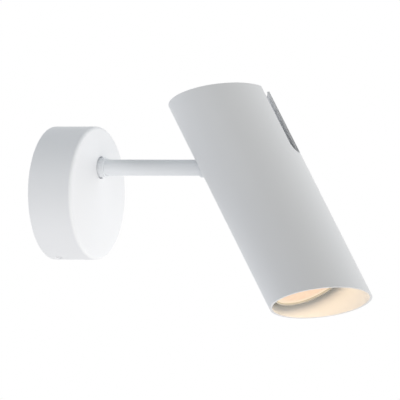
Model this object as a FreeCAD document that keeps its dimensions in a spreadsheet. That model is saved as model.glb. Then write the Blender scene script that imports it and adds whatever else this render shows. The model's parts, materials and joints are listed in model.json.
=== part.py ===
"""Pivoting spotlight wall light: a canopy, an arm and a slotted tube that turns round the arm's end.

Millimetres, +Z up. The origin is the centre of the canopy where it meets the wall, and +X leaves
the wall. Each piece is drawn in one of four frames: "wall" is the light's own frame, "arm" has its
X axis along the arm, "pivot" has its origin on the arm where the head turns, and "head" is the
pivot frame turned with the head, with Z up along its tube.
"""
import FreeCAD, Part
import math
import os
import re

import Sketcher
from FreeCAD import Placement, Rotation, Vector

SIZES = {
    # canopy
    "canopy_dia": 83,
    "canopy_depth": 29,
    "canopy_wall": 1.5,
    "canopy_round": 2,
    # arm, from the canopy's face to the pivot
    "arm_rise": 16.5,
    "arm_reach": 103.5,
    "arm_dia": 10,
    "arm_wall": 1,
    "arm_tail": 10,
    "collar_wall": 1.5,
    "collar_step": 4,
    "collar_gap": 0.5,
    # what holds the arm inside the canopy
    "backing_dia": 36,
    "backing_thick": 2,
    "toothed_dia": 16,
    "toothed_thick": 0.8,
    "nut_flats": 14,
    "nut_thick": 3,
    "bush_flange": 12,
    "bush_neck": 4,
    "bush_bore": 6,
    "bush_thick": 1,
    # wall bracket and its screws
    "bracket_gap": 1.5,
    "bracket_thick": 1.5,
    "slot_spacing": 50,
    "slot_width": 5,
    "slot_length": 12,
    "entry_hole": 20,
    "entry_bore": 16,
    "entry_flange": 24,
    "entry_flange_thick": 1.5,
    "ear_width": 14,
    "ear_depth": 12,
    "ear_thick": 2,
    "ear_gap": 1,
    "grub_dia": 4,
    "grub_length": 6,
    "grub_from_wall": 7,
    "grub_recess": 0.3,
    # connection block
    "block_width": 27,
    "block_height": 14,
    "block_depth": 12,
    "block_gap": 3,
    "pole_pitch": 9,
    "pole_dia": 5,
    "pole_bore": 3.2,
    "pole_recess": 1,
    "clamp_screw_dia": 3.2,
    "clamp_screw_sunk": 0.5,
    "block_screw_dia": 3,
    "block_screw_head": 4.6,
    "block_screw_head_thick": 1.6,
    "earth_out": 14,
    "earth_up": 20,
    "earth_screw_dia": 4,
    "earth_screw_head": 7.5,
    "earth_screw_head_thick": 2.4,
    "tag_dia": 10,
    "tag_thick": 0.8,
    "tag_clear": 0.25,
    "tag_barrel": 3,
    "tag_reach": 10,
    # arm end and pivot
    "knuckle_wall": 1.1,
    "knuckle_length": 43,
    "knuckle_nose": 8,
    "knuckle_socket": 22,
    "flats_depth": 0.6,
    "flats_length": 18,
    "pivot_dia": 5,
    "pivot_thread": 4,
    "pivot_tip_gap": 0.3,
    "pivot_head_dia": 8.4,
    "pivot_head_thick": 2.5,
    "hex_key": 3,
    "hex_depth": 1.5,
    "friction_dia": 12,
    "friction_thick": 0.5,
    "spring_dia": 8,
    "spring_thick": 0.5,
    "running_gap": 0.05,
    "fit_gap": 0.03,
    # head tube
    "head_tilt": 32.7,
    "tube_dia": 60,
    "tube_wall": 1.5,
    "tube_above": 52.2,
    "tube_below": 101.5,
    "rim_slope": 20,
    "slot_clear": 0.4,
    "slot_foot": 1,
    # bridge and yoke that carry the tube on the pivot
    "sheet_metal": 1.5,
    "bridge_drop": 15,
    "bridge_width": 14,
    "bridge_flange": 10,
    "yoke_screw_pitch": 6,
    "small_screw_dia": 3,
    "small_screw_head": 4.8,
    "small_screw_head_thick": 1.6,
    "screw_clearance": 0.4,
    "yoke_screw_length": 5,
    # lampholder
    "spacer_length": 4.5,
    "holder_height": 17.9,
    "holder_width": 30,
    "holder_depth": 16,
    "holder_round": 3,
    "holder_screw_pitch": 23,
    "holder_screw_bite": 6,
    "spacer_dia": 6,
    "pin_pitch": 10,
    "pin_room": 0.4,
    "pin_well_depth": 9.9,
    "contact_dia": 4.8,
    # lamp
    "lamp_dia": 50,
    "lamp_length": 54,
    "lamp_wall": 1,
    "pin_length": 7,
    "pin_head_dia": 5,
    "pin_head_height": 3,
    "pin_stem_dia": 3,
    "pin_root": 2,
    "lamp_gap": 0.1,
    "lamp_base_dia": 21,
    "lamp_base_height": 7,
    "lamp_cone": 4,
    "lamp_shoulder": 28,
    "lamp_rim": 7,
    "lamp_lip": 0.5,
    "lens_thick": 2,
    "lens_seat": 1.2,
    "lens_ledge": 3,
    "board_thick": 1.6,
    "board_dia": 24,
    "board_drop": 24,
    # wiring
    "lead_dia": 3,
    "lead_bend": 8,
    "lead_hook": 6.4,
    "lead_swing": 22.8,
    "lead_entry": 11,
    "earth_wire_dia": 2,
}

# places worked out from the sizes: along X on the wall side, below the pivot along the tube in the head
PIVOT_OUT = "(canopy_depth + arm_reach)"
CANOPY_BORE = "(canopy_dia - 2 * canopy_wall)"
BACKING_FRONT = "(canopy_depth - canopy_wall)"
BACKING_REAR = f"({BACKING_FRONT} - backing_thick)"
TOOTHED_REAR = f"({BACKING_REAR} - toothed_thick)"
NUT_REAR = f"({TOOTHED_REAR} - nut_thick)"
ARM_START = "(canopy_depth - arm_tail)"
ARM_END = f"({PIVOT_OUT} + knuckle_nose - knuckle_length + knuckle_socket)"
ARM_BORE = "(arm_dia - 2 * arm_wall)"
BRACKET_DIA = f"({CANOPY_BORE} - 2 * bracket_gap)"
COLLAR_DIA = "(arm_dia + 2 * collar_wall)"
EAR_OUT = f"({CANOPY_BORE} / 2 - ear_gap)"
BLOCK_FRONT = "(bracket_thick + block_depth)"
BLOCK_MIDDLE = "(bracket_thick + block_depth / 2)"
BLOCK_TOP = "(-entry_flange / 2 - block_gap)"
BLOCK_HEART = f"({BLOCK_TOP} - block_height / 2)"
BLOCK_FOOT = f"({BLOCK_TOP} - block_height)"
TAG_BARREL_OUT = "(bracket_thick + (tag_thick + tag_barrel) / 2)"
KNUCKLE_DIA = "(arm_dia + 2 * knuckle_wall)"
FLAT_OUT = f"({KNUCKLE_DIA} / 2 - flats_depth)"
FRICTION_START = f"({FLAT_OUT} + running_gap)"
YOKE_IN = f"({FRICTION_START} + friction_thick)"
YOKE_OUT = f"({YOKE_IN} + sheet_metal)"
YOKE_FLOOR = "(sheet_metal - bridge_drop)"
SPRING_END = f"({YOKE_OUT} + spring_thick)"
SCREW_SEAT = f"({SPRING_END} + running_gap)"
PIVOT_HOLE = "(pivot_dia + 2 * running_gap)"
TUBE_BORE = "(tube_dia - 2 * tube_wall)"
SLOT_ACROSS = f"({KNUCKLE_DIA} + 2 * slot_clear)"
BRIDGE_UNDER = "(bridge_drop + sheet_metal)"
HOLDER_TOP = f"({BRIDGE_UNDER} + spacer_length)"
HOLDER_FACE = f"({HOLDER_TOP} + holder_height)"
WELL_TOP = f"({HOLDER_FACE} - pin_well_depth)"
LAMP_BACK = f"({HOLDER_FACE} + lamp_gap)"
PIN_TIP = f"({LAMP_BACK} - pin_length)"
PIN_NECK = f"({PIN_TIP} + pin_head_height)"
LAMP_FRONT = f"({PIN_TIP} + lamp_length)"
BASE_EDGE = f"({LAMP_BACK} + lamp_base_height)"
CUP_BACK = f"({BASE_EDGE} + lamp_cone)"
LENS_DIA = "(lamp_dia - 2 * lamp_wall)"
LEAD_END = f"({HOLDER_TOP} + lead_entry)"

# centres of holes, screws and pins, in the sketch plane that each is drawn in
SIDES = ("1", "-1")
AXIS = ("0", "0")
CANOPY_SCREW = ("grub_from_wall", "0")
EARTH = ("earth_out", "earth_up")
BLOCK_SCREWS = [(f"{side} * pole_pitch / 2", BLOCK_HEART) for side in SIDES]
YOKE_SCREWS = [("0", f"{side} * yoke_screw_pitch / 2") for side in SIDES]
HOLDER_SCREWS = [("0", f"{side} * holder_screw_pitch / 2") for side in SIDES]
PINS = [("0", f"{side} * pin_pitch / 2") for side in SIDES]

TINY = 1e-6
FRAMES = {
    "wall": ("0", "0", None),
    "arm": ("0", "arm_rise", None),
    "pivot": (PIVOT_OUT, "arm_rise", None),
    "head": (PIVOT_OUT, "arm_rise", "head_tilt"),
}
TILT_AXIS = Vector(0, -1, 0)

doc = FreeCAD.newDocument("PivotingSpotlight")
sheet = doc.addObject("Spreadsheet::Sheet", "Sizes")
for row, (alias, number) in enumerate(SIZES.items(), 1):
    sheet.set(f"A{row}", alias)
    sheet.set(f"B{row}", str(number))
    sheet.setAlias(f"B{row}", alias)
doc.recompute()

nodes = []


# sizes and frames ---------------------------------------------------------------------------------


def bound(size):
    """The expression for a size in words: each word that is a size is read from the sheet."""
    return re.sub(
        r"[a-z_]+", lambda word: f"Sizes.{word[0]}" if word[0] in SIZES else word[0], size
    )


def value(size):
    """The number that a size in words stands for now."""
    return float(sheet.evalExpression(bound(size)))


def place(piece, frame):
    """Put a piece drawn in a frame where that frame lies on the light."""
    out, up, tilt = FRAMES[frame]
    if tilt:
        piece.Placement = Placement(Vector(), Rotation(TILT_AXIS, value(tilt)))
        piece.setExpression("Placement.Rotation.Angle", bound(tilt))
    piece.setExpression("Placement.Base.x", bound(out))
    piece.setExpression("Placement.Base.z", bound(up))
    nodes.append(piece)


def new_body(label, frame):
    """An empty body, which may hold several alike solids, such as a pair of screws."""
    body = doc.addObject("PartDesign::Body", label)
    body.Label = label
    body.AllowCompound = True
    place(body, frame)
    return body


# sketches -----------------------------------------------------------------------------------------


def sketch_on(body, plane, offset="0"):
    """A sketch on one of the body's own planes, moved along that plane's normal."""
    sketch = body.newObject("Sketcher::SketchObject", f"{body.Label}_sketch")
    origin_plane = next(f for f in body.Origin.OriginFeatures if f.Role == f"{plane}_Plane")
    sketch.AttachmentSupport = [(origin_plane, "")]
    sketch.MapMode = "FlatFace"
    sketch.setExpression("AttachmentOffset.Base.z", bound(offset))
    return sketch


def hold_point(sketch, geometry, position, point):
    """Hold one point of a sketch from its origin by the two sizes of the point."""
    for kind, size in zip(("DistanceX", "DistanceY"), point):
        rule = Sketcher.Constraint(kind, -1, 1, geometry, position, value(size))
        index = sketch.addConstraint(rule)
        sketch.setExpression(f"Constraints[{index}]", bound(size))


def draw_circle(sketch, dia, centre):
    middle = Vector(value(centre[0]), value(centre[1]), 0)
    circle = sketch.addGeometry(Part.Circle(middle, Vector(0, 0, 1), value(dia) / 2))
    hold_point(sketch, circle, 3, centre)
    index = sketch.addConstraint(Sketcher.Constraint("Diameter", circle, value(dia)))
    sketch.setExpression(f"Constraints[{index}]", bound(dia))


def draw_outline(sketch, points):
    """Straight sides from point to point and back to the first."""
    corners = [Vector(value(x), value(y), 0) for x, y in points]
    first = sketch.GeometryCount
    for start, end in zip(corners, corners[1:] + corners[:1]):
        sketch.addGeometry(Part.LineSegment(start, end))
    for number, point in enumerate(points):
        before = first + (number - 1) % len(points)
        sketch.addConstraint(Sketcher.Constraint("Coincident", before, 2, first + number, 1))
        hold_point(sketch, first + number, 1, point)


def draw_box(sketch, left, right, low, high):
    draw_outline(sketch, [(left, low), (right, low), (right, high), (left, high)])


# solids -------------------------------------------------------------------------------------------


def pad(body, sketch, length, both_ways=False):
    feature = body.newObject("PartDesign::Pad", f"{body.Label}_pad")
    feature.Profile = sketch
    feature.SideType = "Symmetric" if both_ways else "One side"
    feature.setExpression("Length", bound(length))
    doc.recompute()
    return feature


def pocket(body, sketch, length=None):
    """Cut back against the sketch's normal by a length, or with none given right through both ways."""
    feature = body.newObject("PartDesign::Pocket", f"{body.Label}_pocket")
    feature.Profile = sketch
    if length is None:
        feature.Type = "ThroughAll"
        feature.SideType = "Symmetric"
    else:
        feature.setExpression("Length", bound(length))
    doc.recompute()
    return feature


def turn(body, sketch, axis):
    """A solid turned round the sketch's H (horizontal) or V (vertical) axis."""
    feature = body.newObject("PartDesign::Revolution", f"{body.Label}_turned")
    feature.Profile = sketch
    feature.ReferenceAxis = (sketch, [f"{axis}_Axis"])
    doc.recompute()
    return feature


def rods(body, plane, centres, dia, start, end):
    """Round rods at some centres, from one offset along the plane's normal to another."""
    sketch = sketch_on(body, plane, start)
    for centre in centres:
        draw_circle(sketch, dia, centre)
    return pad(body, sketch, f"({end}) - ({start})")


def holes(body, plane, centres, dia, start=None, end="0"):
    """Round holes at some centres, between two offsets or with no start right through."""
    sketch = sketch_on(body, plane, end)
    for centre in centres:
        draw_circle(sketch, dia, centre)
    return pocket(body, sketch, start and f"({end}) - ({start})")


def slot_hole(body, plane, centre, length, width):
    """A slot right through along the sketch's X axis: a box and a round hole at each of its ends."""
    across, up = centre
    reach = f"({length} - {width}) / 2"
    ends = (f"({across}) - {reach}", f"({across}) + {reach}")
    sketch = sketch_on(body, plane)
    draw_box(sketch, *ends, f"({up}) - {width} / 2", f"({up}) + {width} / 2")
    pocket(body, sketch)
    holes(body, plane, [(end, up) for end in ends], width)


def ring(label, frame, plane, outer, inner, start, end, centres=(AXIS,)):
    """A plain ring, washer or length of tube, or several alike."""
    body = new_body(label, frame)
    rods(body, plane, centres, outer, start, end)
    holes(body, plane, centres, inner)
    return body


def turned(label, frame, plane, axis, *outlines):
    """A body turned from outlines in a plane, round its horizontal (H) or vertical (V) axis."""
    body = new_body(label, frame)
    sketch = sketch_on(body, plane)
    for outline in outlines:
        draw_outline(sketch, outline)
    turn(body, sketch, axis)
    return body


def screws(label, frame, plane, centres, kind, start, seat):
    """Screws of one kind: round shanks from their tips to the seat, with round heads on it."""
    body = new_body(label, frame)
    rods(body, plane, centres, f"{kind}_dia", start, seat)
    rods(body, plane, centres, f"{kind}_head", seat, f"{seat} + {kind}_head_thick")


def round_edges(body, radius, wanted):
    """Round the edges of the body's last feature that a test picks."""
    last = body.Tip
    names = [f"Edge{n}" for n, edge in enumerate(last.Shape.Edges, 1) if wanted(edge)]
    feature = body.newObject("PartDesign::Fillet", f"{body.Label}_round")
    feature.Base = (last, names)
    feature.setExpression("Radius", bound(radius))
    doc.recompute()
    return feature


def lead(label, frame, points, dia):
    """A round lead along a route, each corner an arc as large as the two runs beside it allow."""
    edges = []
    start = points[0]
    radii = []
    for before, corner, after in zip(points, points[1:], points[2:]):
        back = before - corner
        ahead = after - corner
        half_turn = (math.pi - back.getAngle(ahead)) / 2
        tangent = 0.45 * min(back.Length, ahead.Length)
        radius = tangent / math.tan(half_turn)
        back.normalize()
        ahead.normalize()
        middle = (back + ahead).normalize() * (radius / math.cos(half_turn) - radius)
        arc_start = corner + back * tangent
        arc_end = corner + ahead * tangent
        edges.append(Part.LineSegment(start, arc_start).toShape())
        edges.append(Part.Arc(arc_start, corner + middle, arc_end).toShape())
        start = arc_end
        radii.append(round(radius, 1))
    edges.append(Part.LineSegment(start, points[-1]).toShape())
    path = Part.Wire(edges)
    section = Part.Circle(points[0], points[1] - points[0], dia / 2).toShape()
    piece = doc.addObject("Part::Feature", label)
    piece.Label = label
    piece.Shape = path.makePipeShell([Part.Wire(section)], True, False)
    place(piece, frame)
    share = piece.Shape.Volume / (path.Length * math.pi * dia**2 / 4)
    print(f"{label}: {path.Length:.1f} mm long, bends {radii} mm, volume share {share:.4f}")


# wall side ----------------------------------------------------------------------------------------


def make_wall_bracket():
    """A round plate with two slots for wall screws and an ear for each canopy screw."""
    body = new_body("wall_bracket", "wall")
    rods(body, "YZ", [AXIS], BRACKET_DIA, "0", "bracket_thick")
    ears = sketch_on(body, "YZ")
    for side in SIDES:
        root = f"{side} * ({EAR_OUT} - ear_thick)"
        draw_box(ears, "-ear_width / 2", "ear_width / 2", root, f"{side} * {EAR_OUT}")
    pad(body, ears, "ear_depth")
    for side in SIDES:
        slot_hole(body, "YZ", (f"{side} * slot_spacing / 2", "0"), "slot_length", "slot_width")
    holes(body, "YZ", [AXIS], "entry_hole")
    holes(body, "XY", [CANOPY_SCREW], "grub_dia + 2 * fit_gap")
    holes(body, "YZ", BLOCK_SCREWS, "block_screw_dia + 2 * fit_gap")
    holes(body, "YZ", [EARTH], "earth_screw_dia + 2 * fit_gap")


def make_cable_grommet():
    """A bush that lines the bracket's cable hole, with a flange on the room side."""
    bore = "entry_bore / 2"
    neck = "(entry_hole / 2 - fit_gap)"
    flange = "entry_flange / 2"
    front = "(bracket_thick + entry_flange_thick)"
    outline = [("0", bore), ("0", neck), ("bracket_thick", neck)]
    outline += [("bracket_thick", flange), (front, flange), (front, bore)]
    turned("cable_grommet", "wall", "XZ", "H", outline)


def make_connection_block():
    """Three poles in a block, each a brass tube with a clamp screw that goes in from the front."""
    body = new_body("terminal_block", "wall")
    sketch = sketch_on(body, "YZ", "bracket_thick")
    draw_box(sketch, "-block_width / 2", "block_width / 2", BLOCK_FOOT, BLOCK_TOP)
    pad(body, sketch, "block_depth")
    across = ["-pole_pitch", "0", "pole_pitch"]
    poles = [(BLOCK_MIDDLE, place) for place in across]
    wells = [(place, BLOCK_HEART) for place in across]
    holes(body, "XY", poles, "pole_dia + 2 * fit_gap", BLOCK_FOOT, BLOCK_TOP)
    holes(body, "YZ", wells, "clamp_screw_dia + 2 * fit_gap", BLOCK_MIDDLE, BLOCK_FRONT)
    holes(body, "YZ", BLOCK_SCREWS, "block_screw_dia + 2 * fit_gap")
    low = f"{BLOCK_FOOT} + pole_recess"
    ring("terminal_tubes", "wall", "XY", "pole_dia", "pole_bore", low, f"{BLOCK_TOP} - pole_recess", poles)
    clamps = new_body("terminal_screws", "wall")
    tip = f"{BLOCK_MIDDLE} + pole_dia / 2"
    rods(clamps, "YZ", wells, "clamp_screw_dia", tip, f"{BLOCK_FRONT} - clamp_screw_sunk")
    screws("block_screws", "wall", "YZ", BLOCK_SCREWS, "block_screw", "0", BLOCK_FRONT)


def make_earth_point():
    """A ring tag with a crimp barrel, and the screw that clamps it to the bracket."""
    tag = new_body("earth_tag", "wall")
    rods(tag, "YZ", [EARTH], "tag_dia", "bracket_thick", "bracket_thick + tag_thick")
    barrel = (TAG_BARREL_OUT, "earth_out")
    barrel_top = "earth_up - earth_screw_head / 2 - tag_clear"
    rods(tag, "XY", [barrel], "tag_barrel", "earth_up - tag_reach", barrel_top)
    holes(tag, "YZ", [EARTH], "earth_screw_dia + 2 * fit_gap")
    screws("earth_screw", "wall", "YZ", [EARTH], "earth_screw", "0", "bracket_thick + tag_thick")


def make_canopy():
    """A shallow round cup with its rim on the wall and a clear hole for the arm's collar."""
    wall_line = f"{CANOPY_BORE} / 2"
    outline = [("0", "canopy_dia / 2"), ("canopy_depth", "canopy_dia / 2"), ("canopy_depth", "0")]
    outline += [(BACKING_FRONT, "0"), (BACKING_FRONT, wall_line), ("0", wall_line)]
    shell = turned("canopy", "wall", "XZ", "H", outline)
    depth = value("canopy_depth")
    round_edges(shell, "canopy_round", lambda edge: edge.BoundBox.XMin > depth - TINY)
    collar_hole = f"{COLLAR_DIA} + 2 * collar_gap"
    holes(shell, "YZ", [("0", "arm_rise")], collar_hole, BACKING_REAR, "canopy_depth + canopy_wall")
    holes(shell, "XY", [CANOPY_SCREW], "grub_dia + 2 * fit_gap")
    grubs = new_body("canopy_screws", "wall")
    outside = "(canopy_dia / 2 - grub_recess)"
    rods(grubs, "XY", [CANOPY_SCREW], "grub_dia", f"{outside} - grub_length", outside)
    rods(grubs, "XY", [CANOPY_SCREW], "grub_dia", f"-{outside}", f"grub_length - {outside}")


# arm ----------------------------------------------------------------------------------------------


def make_arm():
    """The arm's tube, its collar in front of a backing plate, and the nut that draws them together."""
    snug = "arm_dia + 2 * fit_gap"
    collar_front = "canopy_depth + collar_step"
    ring("backing_plate", "arm", "YZ", "backing_dia", snug, BACKING_REAR, BACKING_FRONT)
    ring("root_collar", "arm", "YZ", COLLAR_DIA, snug, BACKING_FRONT, collar_front)
    ring("arm_tube", "arm", "YZ", "arm_dia", ARM_BORE, ARM_START, ARM_END)
    ring("toothed_washer", "arm", "YZ", "toothed_dia", snug, TOOTHED_REAR, BACKING_REAR)
    nut = new_body("arm_nut", "arm")
    hexagon = sketch_on(nut, "YZ", NUT_REAR)
    draw_outline(hexagon, hexagon_points("nut_flats"))
    pad(nut, hexagon, "nut_thick")
    holes(nut, "YZ", [AXIS], snug)
    neck = f"({ARM_BORE} / 2 - fit_gap)"
    flange_rear = f"({ARM_START} - bush_thick)"
    neck_end = f"({ARM_START} + bush_neck)"
    outline = [(flange_rear, "bush_bore / 2"), (flange_rear, "bush_flange / 2")]
    outline += [(ARM_START, "bush_flange / 2"), (ARM_START, neck), (neck_end, neck)]
    outline += [(neck_end, "bush_bore / 2")]
    turned("arm_bush", "arm", "XZ", "H", outline)


def hexagon_points(flats):
    """The corners of a hexagon about the sketch's origin, by its size across flats."""
    reach = f"{flats} / 2 / cos(30)"
    return [(f"{reach} * cos({60 * turn})", f"{reach} * sin({60 * turn})") for turn in range(6)]


def make_knuckle():
    """The sleeve on the arm's end, with a flat on each side and a threaded hole for each pivot screw."""
    rear = "(knuckle_nose - knuckle_length)"
    step = f"({rear} + knuckle_socket)"
    socket = "(arm_dia / 2 + fit_gap)"
    outside = f"({KNUCKLE_DIA} / 2)"
    bore = f"({ARM_BORE} / 2)"
    outline = [(rear, socket), (rear, outside), ("knuckle_nose", outside)]
    outline += [("knuckle_nose", bore), (step, bore), (step, socket)]
    body = turned("arm_knuckle", "pivot", "XZ", "H", outline)
    flats_start = "knuckle_nose - flats_length"
    flats_end = f"knuckle_nose + {KNUCKLE_DIA}"
    sides = sketch_on(body, "XY")
    for side in SIDES:
        draw_box(sides, flats_start, flats_end, f"{side} * {FLAT_OUT}", f"{side} * {KNUCKLE_DIA}")
    pocket(body, sides)
    holes(body, "XZ", [AXIS], "pivot_thread + 2 * fit_gap")


def make_pivot():
    """Two shoulder screws, on which the yoke turns between a friction washer and a spring washer."""
    head_end = f"({SCREW_SEAT} + pivot_head_thick)"
    key_foot = f"({head_end} - hex_depth)"
    tip = f"({ARM_BORE} / 2 + pivot_tip_gap)"
    steps = [("0", tip), ("pivot_thread / 2", tip), ("pivot_thread / 2", FLAT_OUT)]
    steps += [("pivot_dia / 2", FLAT_OUT), ("pivot_dia / 2", SCREW_SEAT)]
    steps += [("pivot_head_dia / 2", SCREW_SEAT), ("pivot_head_dia / 2", head_end)]
    steps += [("hex_key / 2", head_end), ("hex_key / 2", key_foot), ("0", key_foot)]
    both = [[(across, f"{side} * {out}") for across, out in steps] for side in SIDES]
    turned("pivot_screws", "pivot", "XY", "V", *both)
    washer_pair("friction_washers", "friction_dia", FRICTION_START, YOKE_IN)
    washer_pair("spring_washers", "spring_dia", YOKE_OUT, SPRING_END)


def washer_pair(label, outer, start, end):
    """A washer on each side of the arm, both round the pivot screws."""
    body = new_body(label, "head")
    rods(body, "XZ", [AXIS], outer, start, end)
    rods(body, "XZ", [AXIS], outer, f"-{end}", f"-{start}")
    holes(body, "XZ", [AXIS], PIVOT_HOLE)


# head ---------------------------------------------------------------------------------------------


def make_head_tube():
    """A tube with both ends cut on the same slope, and two slots that let it turn past the arm."""
    body = new_body("head_tube", "head")
    rim_rise = "tube_dia * tan(rim_slope)"
    rods(body, "XY", [AXIS], "tube_dia", f"-tube_below - {rim_rise}", f"tube_above + {rim_rise}")
    holes(body, "XY", [AXIS], TUBE_BORE)
    ends = sketch_on(body, "XZ")
    for side, middle in (("1", "tube_above"), ("-1", "-tube_below")):
        beyond = f"{middle} + {side} * 3 * {rim_rise}"
        slope = [("-tube_dia", f"{middle} + {rim_rise}"), ("tube_dia", f"{middle} - {rim_rise}")]
        draw_outline(ends, slope + [("tube_dia", beyond), ("-tube_dia", beyond)])
    pocket(body, ends)
    slots = sketch_on(body, "YZ")
    slot_top = f"tube_above + {rim_rise}"
    draw_box(slots, f"-{SLOT_ACROSS} / 2", f"{SLOT_ACROSS} / 2", "-slot_foot", slot_top)
    pocket(body, slots)
    holes(body, "YZ", [("0", "-slot_foot")], SLOT_ACROSS)


def make_bridge():
    """A strip across the tube with its ends turned down along the tube's inner wall."""
    body = new_body("head_bridge", "head")
    outside = f"({TUBE_BORE} - 2 * fit_gap)"
    foot = f"-{BRIDGE_UNDER} - bridge_flange"
    rods(body, "XY", [AXIS], outside, foot, "-bridge_drop")
    holes(body, "XY", [AXIS], f"{outside} - 2 * sheet_metal", foot, f"-{BRIDGE_UNDER}")
    trim = sketch_on(body, "XY")
    for side in SIDES:
        draw_box(trim, f"{side} * bridge_width / 2", f"{side} * tube_dia", "-tube_dia", "tube_dia")
    pocket(body, trim)
    holes(body, "XY", YOKE_SCREWS + HOLDER_SCREWS, "small_screw_dia + 2 * fit_gap")


def make_yoke():
    """A folded U on the bridge, whose two round-topped ears turn on the pivot screws."""
    body = new_body("pivot_yoke", "head")
    side_view = sketch_on(body, "XZ")
    draw_box(side_view, "-bridge_width / 2", "bridge_width / 2", "-bridge_drop", "0")
    pad(body, side_view, f"2 * {YOKE_OUT}", both_ways=True)
    rods(body, "XZ", [AXIS], "bridge_width", f"-{YOKE_OUT}", YOKE_OUT)
    between = sketch_on(body, "YZ")
    draw_box(between, f"-{YOKE_IN}", YOKE_IN, YOKE_FLOOR, "bridge_width")
    pocket(body, between)
    holes(body, "XZ", [AXIS], PIVOT_HOLE)
    holes(body, "XY", YOKE_SCREWS, "small_screw_dia + 2 * fit_gap")
    screw_end = f"{YOKE_FLOOR} - yoke_screw_length"
    screws("yoke_screws", "head", "XY", YOKE_SCREWS, "small_screw", screw_end, YOKE_FLOOR)


def make_lampholder():
    """A ceramic block under the bridge on two spacers, with a well and a contact for each lamp pin."""
    body = new_body("lampholder", "head")
    sketch = sketch_on(body, "XY", f"-{HOLDER_FACE}")
    draw_box(
        sketch, "-holder_depth / 2", "holder_depth / 2", "-holder_width / 2", "holder_width / 2"
    )
    pad(body, sketch, "holder_height")
    height = value("holder_height")
    round_edges(body, "holder_round", lambda edge: abs(edge.BoundBox.ZLength - height) < TINY)
    screw_end = f"-{HOLDER_TOP} - holder_screw_bite"
    hole_end = f"{screw_end} - screw_clearance"
    holes(body, "XY", HOLDER_SCREWS, "small_screw_dia + 2 * fit_gap", hole_end, f"-{HOLDER_TOP}")
    holes(body, "XY", PINS, "pin_head_dia + 2 * pin_room", f"-{HOLDER_FACE}", f"-{WELL_TOP}")
    screws("holder_screws", "head", "XY", HOLDER_SCREWS, "small_screw", screw_end, "-bridge_drop")
    spacer_bore = "small_screw_dia + screw_clearance"
    ends = (f"-{HOLDER_TOP}", f"-{BRIDGE_UNDER}")
    ring("holder_spacers", "head", "XY", "spacer_dia", spacer_bore, *ends, HOLDER_SCREWS)
    contacts = new_body("holder_contacts", "head")
    rods(contacts, "XY", PINS, "contact_dia", f"-{PIN_TIP} + fit_gap", f"-{WELL_TOP}")


# lamp ---------------------------------------------------------------------------------------------


def make_lamp():
    """A two-pin reflector lamp: pins, base, cup, board with the light source, and front lens."""
    pins = new_body("lamp_pins", "head")
    rods(pins, "XY", PINS, "pin_head_dia", f"-{PIN_NECK}", f"-{PIN_TIP}")
    rods(pins, "XY", PINS, "pin_stem_dia", f"-{LAMP_BACK} - pin_root", f"-{PIN_NECK}")
    outline = [("0", f"-{LAMP_BACK}"), ("lamp_base_dia / 2", f"-{LAMP_BACK}")]
    outline += [("lamp_base_dia / 2", f"-{BASE_EDGE}"), ("lamp_shoulder / 2", f"-{CUP_BACK}")]
    base = turned("lamp_base", "head", "XZ", "V", outline + [("0", f"-{CUP_BACK}")])
    holes(base, "XY", PINS, "pin_stem_dia + 2 * fit_gap", f"-{LAMP_BACK} - pin_root", f"-{LAMP_BACK}")
    lens_back = f"({LAMP_FRONT} - lens_thick)"
    seat = "(lamp_dia / 2 - lamp_wall - lens_seat)"
    cup_floor = f"({LAMP_FRONT} - board_drop)"
    rim = f"({LAMP_FRONT} + lamp_lip)"
    cup = [("0", f"-{CUP_BACK}"), ("lamp_shoulder / 2", f"-{CUP_BACK}")]
    cup += [("lamp_dia / 2", f"lamp_rim - {rim}"), ("lamp_dia / 2", f"-{rim}")]
    cup += [(f"{LENS_DIA} / 2", f"-{rim}"), (f"{LENS_DIA} / 2", f"-{lens_back}")]
    cup += [(seat, f"-{lens_back}"), (seat, f"lens_ledge - {lens_back}")]
    cup += [("board_dia / 2 + lamp_wall", f"-{cup_floor}"), ("0", f"-{cup_floor}")]
    turned("lamp_cup", "head", "XZ", "V", cup)
    board = new_body("led_board", "head")
    rods(board, "XY", [AXIS], "board_dia", f"-{cup_floor} - board_thick", f"-{cup_floor}")
    lens = new_body("lamp_lens", "head")
    rods(lens, "XY", [AXIS], f"{LENS_DIA} - 2 * fit_gap", f"-{LAMP_FRONT}", f"-{lens_back}")


# wiring -------------------------------------------------------------------------------------------


def make_leads():
    """The lead from the block through the arm, its end in the head, and the earth wire to the tag."""
    nose_end = f"{PIVOT_OUT} + knuckle_nose"
    arm_route = [
        spot(BLOCK_MIDDLE, "0", BLOCK_TOP),
        spot(BLOCK_MIDDLE, "0", "arm_rise - lead_bend"),
        spot(f"{BLOCK_MIDDLE} + lead_bend", "0", "arm_rise"),
        spot(nose_end, "0", "arm_rise"),
    ]
    head_route = [
        spot("knuckle_nose * cos(head_tilt)", "0", "-knuckle_nose * sin(head_tilt)"),
        spot("lead_swing", "0", "-lead_swing * tan(head_tilt)"),
        spot("lead_swing", "0", f"lead_hook - {LEAD_END}"),
        spot("lead_swing - lead_hook", "0", f"-{LEAD_END}"),
        spot("holder_depth / 2", "0", f"-{LEAD_END}"),
    ]
    tag_end = "(earth_up - tag_reach)"
    earth_route = [
        spot(BLOCK_MIDDLE, "pole_pitch", BLOCK_TOP),
        spot(BLOCK_MIDDLE, "pole_pitch", f"{BLOCK_TOP} + lead_bend"),
        spot(TAG_BARREL_OUT, "earth_out", f"{tag_end} - lead_bend"),
        spot(TAG_BARREL_OUT, "earth_out", tag_end),
    ]
    lead("arm_lead", "wall", arm_route, value("lead_dia"))
    lead("head_lead", "head", head_route, value("lead_dia"))
    lead("earth_wire", "wall", earth_route, value("earth_wire_dia"))


def spot(along, across, up):
    return Vector(value(along), value(across), value(up))


# the whole light ----------------------------------------------------------------------------------


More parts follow.
